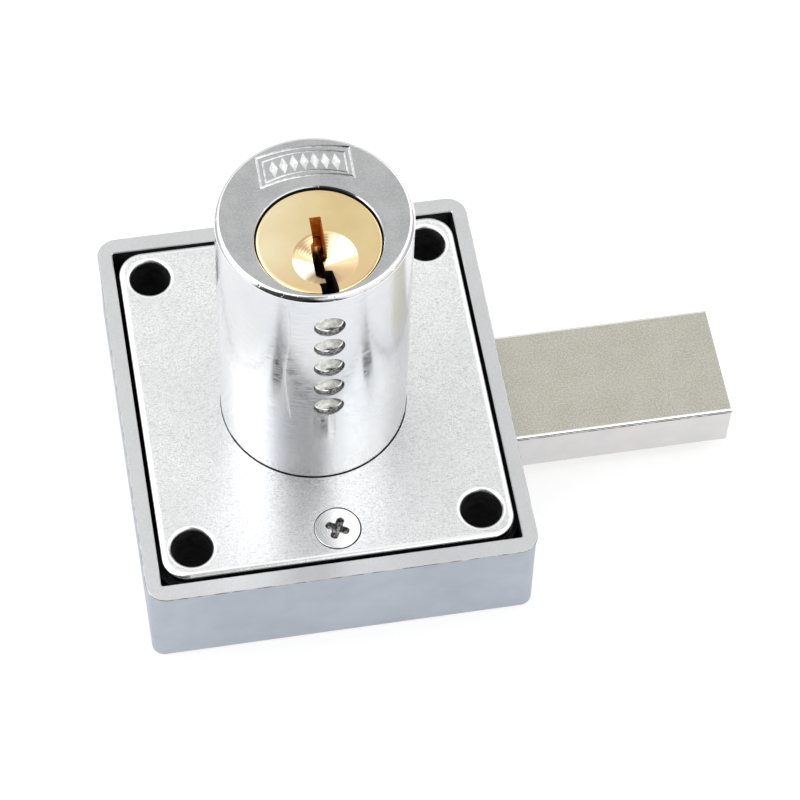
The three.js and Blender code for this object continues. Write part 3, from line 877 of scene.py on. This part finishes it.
def badge_outline(inset):
    """A curved panel at the rear of the barrel's face, bowed round the axis."""
    half = BADGE["half_width"] - inset
    steps = 14
    shares = [2 * k / steps - 1 for k in range(steps + 1)]
    points = []
    for edge, sign in (("outer", 1), ("inner", -1)):
        for share in shares:
            crown = BADGE[f"{edge}_crown"] * (1 - share * share)
            points.append((sign * share * half, BADGE[edge] - sign * inset + crown))
    return [(barrel_axis[0] + x, barrel_axis[1] + y) for x, y in points]


def groove(name, path, width, depth, top):
    """A closed V-shaped cutter along a path on a face at height top."""
    shape = bmesh.new()
    rows = []
    count = len(path)
    for k, point in enumerate(path):
        here = Vector(point)
        before = (here - Vector(path[k - 1])).normalized()
        after = (Vector(path[(k + 1) % count]) - here).normalized()
        side = before + after
        side = Vector((side.y, -side.x)).normalized()
        stretch = 1 / max(side.dot(Vector((after.y, -after.x))), 0.4)
        reach = width / 2 * stretch
        spread = reach * (1 + CUT_RISE / depth)
        section = [here - side * spread, here, here + side * spread]
        heights = (top + CUT_RISE, top - depth, top + CUT_RISE)
        rows.append([
            shape.verts.new(Vector((p.x, p.y, z)) * MM) for p, z in zip(section, heights)
        ])
    for k in range(count):
        low, high = rows[k], rows[(k + 1) % count]
        for a in range(3):
            b = (a + 1) % 3
            shape.faces.new((low[a], low[b], high[b], high[a]))
    return finish_mesh(name, shape)


def lozenge(name, centre, top):
    """A shallow four-sided pyramid that sinks into a face at height top."""
    x, y = centre
    depth = LOZENGE["depth"]

    def ring(scale, height):
        half_x, half_y = LOZENGE["half_x"] * scale, LOZENGE["half_y"] * scale
        return [(x + half_x, y, height), (x, y + half_y, height),
                (x - half_x, y, height), (x, y - half_y, height)]

    return loft(name, [ring(0.02, top - depth), ring(1 + CUT_RISE / depth, top + CUT_RISE)])


def make_barrel():
    axis = barrel_axis
    top = barrel_high.z
    profile = [(BARREL_RADIUS - 0.2, barrel_low.z), (BARREL_RADIUS, barrel_low.z + 0.2)]
    profile += [(BARREL_RADIUS - inset, top - drop) for inset, drop in TOP_EDGE]
    barrel = turned("barrel_body", profile, axis, 160)
    flange = turned("flange", [
        (FLANGE_RADIUS, barrel_low.z), (FLANGE_RADIUS, barrel_low.z + FLANGE_HEIGHT),
    ], axis, 96)
    half = half_width("barrel")
    flats = slab("flats", -half, half, barrel_low.y - OVERCUT, barrel_high.y + OVERCUT,
                 barrel_low.z - OVERCUT, ABOVE)
    combine(flange, [flats], "INTERSECT")
    combine(barrel, [flange], "UNION")

    head_floor = plug_high.z - 2.8
    mouth = [(MOUTH_RADIUS, head_floor), (MOUTH_RADIUS, top - MOUTH_CHAMFER),
             (MOUTH_RADIUS + MOUTH_CHAMFER, top), (MOUTH_RADIUS + MOUTH_CHAMFER, top + OVERCUT)]
    cutters = [
        turned("plug_bore", [(PLUG_BORE, barrel_low.z - OVERCUT), (PLUG_BORE, top - 1)], plug_axis, 96),
        turned("mouth", mouth, plug_axis, 128),
    ]
    front = axis[1] - BARREL_RADIUS
    for number in PINS:
        chamber_end = node_box(f"pin_spring_{number}")[1].y + SPRING_GAP
        z = node_box(f"chamber_plug_{number}")[2].z
        chamber = turned("chamber", [(CHAMBER, plug_axis[1] + 4), (CHAMBER, chamber_end)], steps=48)
        hole = turned("hole", [(STOPPER_HOLE, front - OVERCUT), (STOPPER_HOLE, plug_axis[1] - 4)], steps=64)
        cutters += [along_y(chamber, 0, z), along_y(hole, 0, z)]
    for name, (inset, width, depth) in BADGE_LINES.items():
        cutters.append(groove(name, badge_outline(inset), width, depth, top))
    for k in range(-3, 4):
        bow = 0.82 * (1 - (k / 3.7) ** 2)
        middle = (BADGE["outer"] + BADGE["inner"]) / 2 + bow
        place = (axis[0] + k * LOZENGE["pitch"], axis[1] + middle)
        cutters.append(lozenge(f"lozenge_{k}", place, top))
    combine(barrel, cutters)

    def choose(face):
        z = face.center.z / MM
        reach = math.dist(face.center.xy / MM, plug_axis)
        if z < top - MOUTH_CHAMFER and reach < MOUTH_RADIUS + 0.02:
            # Painted shade: the wall of the plug's mouth is near-black.
            return 3
        if z < top - TOP_EDGE[0][1]:
            return 0
        if face.normal.z > 0.99:
            return 1
        engraved = math.dist(face.center.xy / MM, axis) < BARREL_RADIUS - 1 and reach > MOUTH_RADIUS + 0.3
        return 4 if engraved else 2

    coats = [barrel_side(), barrel_face(), worn_edge(), INSIDE_SHADE, engraving()]
    stand_for(barrel, "barrel", coats, choose, 28)


def make_plug():
    axis = plug_axis
    top = plug_high.z
    profile = [(PLUG_BODY_RADIUS - 0.2, plug_low.z), (PLUG_BODY_RADIUS, plug_low.z + 0.2),
               (PLUG_BODY_RADIUS, top - 2.5), (HEAD_RADIUS - 0.1, top - 2.5), (HEAD_RADIUS, top - 2.4)]
    profile += [(HEAD_RADIUS - inset, top - drop) for inset, drop in rounding(*HEAD_EDGE)]
    plug = turned("plug_body", profile, axis, 128)
    keyway = prism("keyway", [(axis[0] + x, axis[1] + y) for x, y in KEYWAY], KEYWAY_FLOOR, top + OVERCUT)
    dish_centre = (axis[0] + DISH["x"], axis[1] + DISH["y"])
    slope = DISH["radius"] / DISH["depth"]
    blend = 0.12
    dish = turned("dish", [
        (0.02, top - DISH["depth"]),
        (DISH["radius"] - slope * blend, top - blend),
        (DISH["radius"] + 0.1, top - 0.015),
        (DISH["radius"] + 0.5, top + 0.05),
        (DISH["radius"] + 0.5, top + OVERCUT),
    ], dish_centre, 96)
    cutters = [keyway, dish]
    for number in PINS:
        z = node_box(f"key_pin_{number}")[2].z
        chamber = turned("chamber", [(CHAMBER, axis[1] - 0.9), (CHAMBER, axis[1] + 8)], steps=48)
        cutters.append(along_y(chamber, 0, z))
    for number in (1, 2):
        _, high, middle = node_box(f"arm_screw_{number}")
        profile = [(ARM_SCREW_HOLE, plug_low.z - OVERCUT), (ARM_SCREW_HOLE, high.z + 0.5)]
        cutters.append(turned("screw_hole", profile, (middle.x, middle.y), 32))
    combine(plug, cutters)

    def choose(face):
        x, y, z = face.center / MM
        wall = abs(face.normal.z) < 0.1 and z < top - 0.05
        if not wall and 0.3 < face.normal.z < 0.97 and math.dist((x, y), dish_centre) < DISH["radius"] + 0.05:
            return 3
        if not wall or math.dist((x, y), axis) > PLUG_BODY_RADIUS - 0.05:
            return 0
        # Painted shade: far keyway walls get the darker keyway brass, near ones the near-black inside colour.
        return 1 if y > axis[1] - 1 else 2

    coats = [plug_brass(axis), keyway_brass_shade(), INSIDE_SHADE, dish_brass(dish_centre)]
    stand_for(plug, "plug", coats, choose, 28)


def make_stopper(number):
    low, high, middle = node_box(f"chamber_plug_{number}")
    radius = STOPPER_HOLE - 0.005
    mouth = low.y + 0.1
    floor = mouth + STOPPER_DROP
    hollow = radius - STOPPER_RIM
    shares = (0.03, 0.3, 0.5, 0.7, 0.85, 1)
    profile = [(hollow * share, floor + STOPPER_DISH * (1 - share ** 2)) for share in shares]
    profile += [(hollow + 0.05, floor - 0.03), (hollow + 0.1, floor - 0.1)]
    profile += [(radius - 0.03, mouth), (radius, mouth + 0.03), (radius, high.y)]
    stopper = turned(f"stopper_{number}", profile, steps=64)
    along_y(stopper, middle.x, middle.z)

    def choose(face):
        x, _, z = face.center / MM
        reach = math.dist((x, z), (middle.x, middle.z))
        # Painted shade: the steep wall round the stopper's hollow is dark.
        return 0 if reach < hollow - 0.02 else 1 if reach < hollow + 0.09 else 2

    stand_for(stopper, f"chamber_plug_{number}", [STOPPER, EDGE, RECESS_SHADE], choose, 50)


def make_pin(node, name, pointed):
    """A lower pin, pointed toward the key, or an upper pin, rounded at both ends."""
    low, high, middle = node_box(node)
    radius = half_width(node)
    edge = rounding(0.2, 0.2, 4)
    if pointed:
        profile = [(0.25, low.y), (0.4, low.y + 0.05), (radius - 0.05, low.y + 0.77), (radius, low.y + 0.9)]
    else:
        profile = [(radius - inset, low.y + drop) for inset, drop in reversed(edge)]
    profile += [(radius - inset, high.y - drop) for inset, drop in edge]
    pin = along_y(turned(name, profile, steps=48), middle.x, middle.z)
    stand_for(pin, node, [BRASS_PIN])


def make_spring(number):
    low, high, middle = node_box(f"pin_spring_{number}")
    wire = 0.14
    coil = half_width(f"pin_spring_{number}") - wire
    turns, per_turn, sides = 4.5, 28, 10
    sections = []
    count = int(turns * per_turn)
    for k in range(count + 1):
        angle = 2 * math.pi * turns * k / count
        y = low.y + wire + (high.y - low.y - 2 * wire) * k / count
        out = Vector((math.cos(angle), 0, math.sin(angle)))
        centre = Vector((middle.x, y, middle.z)) + coil * out
        sections.append([
            centre + wire * (math.cos(t) * out + math.sin(t) * Vector((0, 1, 0)))
            for t in [2 * math.pi * s / sides for s in range(sides)]
        ])
    spring = loft(f"coil_{number}", sections)
    stand_for(spring, f"pin_spring_{number}", [WIRE], angle=50)
    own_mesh(spring)


# ---------------- bolt work


def make_bolt():
    low, high = bolt_low, bolt_high
    outline = [(low.x, low.y), (high.x, low.y), (high.x, BOLT_HALF), (BOLT_SHOULDER, BOLT_HALF),
               (BOLT_SHOULDER, high.y), (low.x, high.y)]
    bolt = prism("bolt_bar", outline, low.z, high.z)
    soften(bolt, BOLT_ROUND, 4)
    combine(bolt, [prism("slot", crank_slot(), low.z - OVERCUT, high.z + OVERCUT)])

    def choose(face):
        if face.normal.y < -0.9 and 0.1 < face.normal.z < 0.3:
            # Painted dark reflection: the lower part of the front edge's rounding.
            return 3
        if max(abs(part) for part in face.normal) < 0.985:
            return 2
        # Painted light and shade: broad and narrow faces get shaded and lit copies of the nickel.
        return 0 if abs(face.normal.z) > 0.9 else 1

    stand_for(bolt, "bolt", [bolt_face(), bolt_side(), bolt_edge(), bolt_line_reflection()], choose)


def crank_slot():
    """The space that the crank pin sweeps in the bolt's tail, from the travel and the crank."""
    crank = node_box("crank_pin")[2].x - plug_axis[0]
    reach = half_width("crank_pin") + 0.25
    steps = 48
    path = []
    for k in range(steps + 1):
        turn = math.pi * k / steps
        path.append(Vector((
            crank * (math.cos(turn) + 2 * turn / math.pi), plug_axis[1] + crank * math.sin(turn),
        )))
    outline = []
    for k, point in enumerate(path):
        along = (path[min(k + 1, steps)] - path[max(k - 1, 0)]).normalized()
        outline.append((point.x + reach * along.y, point.y - reach * along.x))
    tip = path[0]
    first = math.atan2(outline[-1][1] - tip.y, outline[-1][0] - tip.x)
    last = math.atan2(outline[0][1] - tip.y, outline[0][0] - tip.x)
    if last < first:
        last += 2 * math.pi
    for k in range(1, 16):
        angle = first + (last - first) * k / 16
        outline.append((tip.x + reach * math.cos(angle), tip.y + reach * math.sin(angle)))
    return outline


def make_arm():
    low, high, _ = node_box("crank_arm")
    hub = plug_axis[0] - low.x
    pin_mid = node_box("crank_pin")[2]
    crank = pin_mid.x - plug_axis[0]
    tip = high.x - pin_mid.x
    lean = math.acos((hub - tip) / crank)
    outline = []
    for k in range(37):
        angle = lean + (2 * math.pi - 2 * lean) * k / 36
        outline.append((plug_axis[0] + hub * math.cos(angle), plug_axis[1] + hub * math.sin(angle)))
    for k in range(17):
        angle = -lean + 2 * lean * k / 16
        outline.append((pin_mid.x + tip * math.cos(angle), plug_axis[1] + tip * math.sin(angle)))
    arm = prism("turning_arm", outline, low.z, high.z)
    soften(arm, 0.15, 2)
    rivet = [(1.45, low.z - OVERCUT), (1.45, high.z + OVERCUT)]
    tools = [turned("rivet_hole", rivet, (pin_mid.x, pin_mid.y), 48)]
    for number in (1, 2):
        screw = node_box(f"arm_screw_{number}")[2]
        sink = [(3.05, low.z - OVERCUT), (ARM_SCREW_HOLE, low.z + 0.9), (ARM_SCREW_HOLE, high.z + OVERCUT)]
        tools.append(turned("screw_hole", sink, (screw.x, screw.y), 48))
    combine(arm, tools)
    stand_for(arm, "crank_arm", [STEEL])


def make_crank_pin():
    low, high, middle = node_box("crank_pin")
    radius = half_width("crank_pin")
    shoulder = node_box("crank_arm")[0].z - 0.15
    profile = [(radius - inset, low.z + drop) for inset, drop in reversed(rounding(0.25, 0.25, 4))]
    profile += [(radius - 0.1, shoulder), (1.3, shoulder), (1.3, high.z - 0.1), (1.2, high.z)]
    pin = turned("crank_stud", profile, (middle.x, middle.y), 64)
    stand_for(pin, "crank_pin", [STEEL])


def make_arm_screw(number):
    low, high, middle = node_box(f"arm_screw_{number}")
    radius = half_width(f"arm_screw_{number}")
    centre = (middle.x, middle.y)
    profile = [(radius - 0.08, low.z), (radius, low.z + 0.05), (1.0, low.z + 0.95)]
    start = low.z + 1.5
    while start + 0.4 < high.z - 0.5:
        profile += [(0.82, start), (0.99, start + 0.16), (0.99, start + 0.22)]
        start += 0.4
    profile += [(0.8, high.z - 0.4), (0.4, high.z)]
    screw = turned(f"arm_fixing_{number}", profile, centre, 48)
    cross = loft("cross", [
        [(x, y, z) for x, y in plus_outline(1.05, 0.26, scale, 45, centre)]
        for scale, z in ((1.08, low.z - 0.02), (1.0, low.z + 0.05), (0.45, low.z + 0.7))
    ])
    combine(screw, [cross])
    stand_for(screw, f"arm_screw_{number}", [STEEL])


make_case()
make_cover_plate()
make_cover_screw("front")
make_cover_screw("rear")
make_barrel()
make_plug()
make_bolt()
make_arm()
make_crank_pin()
for n in PINS:
    make_stopper(n)
    make_pin(f"key_pin_{n}", f"lower_pin_{n}", pointed=True)
    make_pin(f"driver_pin_{n}", f"upper_pin_{n}", pointed=False)
    make_spring(n)
for n in (1, 2):
    make_arm_screw(n)

# ---------------- floor, world and lights

FLOOR_GLOW = 0.74


def make_floor():
    floor = turned("floor", [(900, -30), (900, 0)], steps=64)
    skin = bpy.data.materials.new("floor_paper")
    skin.use_nodes = True
    shader = skin.node_tree.nodes["Principled BSDF"]
    shader.inputs["Base Color"].default_value = (0.30, 0.30, 0.30, 1)
    shader.inputs["Roughness"].default_value = 0.9
    shader.inputs["Emission Color"].default_value = (1, 1, 1, 1)
    shader.inputs["Emission Strength"].default_value = FLOOR_GLOW
    floor.data.materials.append(skin)


SKY = 0.95
# Round areas of the sky: azimuth from -Y toward +X, elevation, inner and outer radius, and what
# they multiply the sky by.
SKY_AREAS = {
    "left_window": (-102, 48, 28, 50, 1.6),
    "left_lamp": (-78, 66, 12, 23, 1.8),
    "right_window": (50, 60, 15, 26, 2.6),
    "rear_window": (127, 32, 12, 26, 2.0),
    "rear_door": (169, 8, 12, 24, 0.8),
    "side_wall": (100, 50, 18, 36, 0.74),
    "ceiling": (0, 77, 6, 15, 0.35),
    "photographer": (-24, 58, 13, 22, 0.2),
    "dark_wall": (-34, 19, 26, 35, 0.05),
    "dark_door": (-2, 12, 18, 28, 0.12),
}
HORIZON = {"low": 3, "high": 26, "level": 0.5}  # elevations where the dimming ends, and its level


def direction(azimuth, elevation):
    """Unit vector of a direction in degrees; azimuth 0 is -Y and 90 is +X."""
    turn, rise = math.radians(azimuth), math.radians(elevation)
    return math.sin(turn) * math.cos(rise), -math.cos(turn) * math.cos(rise), math.sin(rise)


def make_world():
    """A white sky that dims toward the horizon, times each of the sky areas."""
    world = bpy.data.worlds.new("studio")
    world.use_nodes = True
    tree = world.node_tree
    nodes, links = tree.nodes, tree.links
    background = nodes["Background"]
    place = nodes.new("ShaderNodeTexCoord").outputs["Generated"]
    parts = nodes.new("ShaderNodeSeparateXYZ")
    links.new(place, parts.inputs["Vector"])
    dim, full = [math.sin(math.radians(HORIZON[name])) for name in ("low", "high")]
    light = smooth_range(tree, parts.outputs["Z"], dim, full, SKY * HORIZON["level"], SKY)
    for azimuth, elevation, inner, outer, level in SKY_AREAS.values():
        toward = nodes.new("ShaderNodeVectorMath")
        toward.operation = "DOT_PRODUCT"
        toward.inputs[1].default_value = direction(azimuth, elevation)
        links.new(place, toward.inputs[0])
        edge, core = math.cos(math.radians(outer)), math.cos(math.radians(inner))
        area = smooth_range(tree, toward.outputs["Value"], edge, core, 1.0, level)
        product = nodes.new("ShaderNodeMath")
        product.operation = "MULTIPLY"
        links.new(light, product.inputs[0])
        links.new(area, product.inputs[1])
        light = product.outputs["Value"]
    background.inputs["Color"].default_value = (1, 1, 1, 1)
    links.new(light, background.inputs["Strength"])
    bpy.context.scene.world = world


def make_light(name, place, aim, size, power):
    data = bpy.data.lights.new(name, "AREA")
    data.shape = "SQUARE"
    data.size = size
    data.energy = power
    light = bpy.data.objects.new(name, data)
    light.location = place
    light.rotation_euler = (Vector(aim) - Vector(place)).to_track_quat("-Z", "Y").to_euler()
    bpy.context.scene.collection.objects.link(light)


make_floor()
make_world()
make_light("left_softbox", (-0.55, 0.05, 0.5), (0, 0, 0.02), 0.4, 0.7)
make_light("right_softbox", (0.6, 0.05, 0.5), (0, 0, 0.02), 0.4, 0.6)
bpy.context.scene.view_settings.view_transform = "Standard"
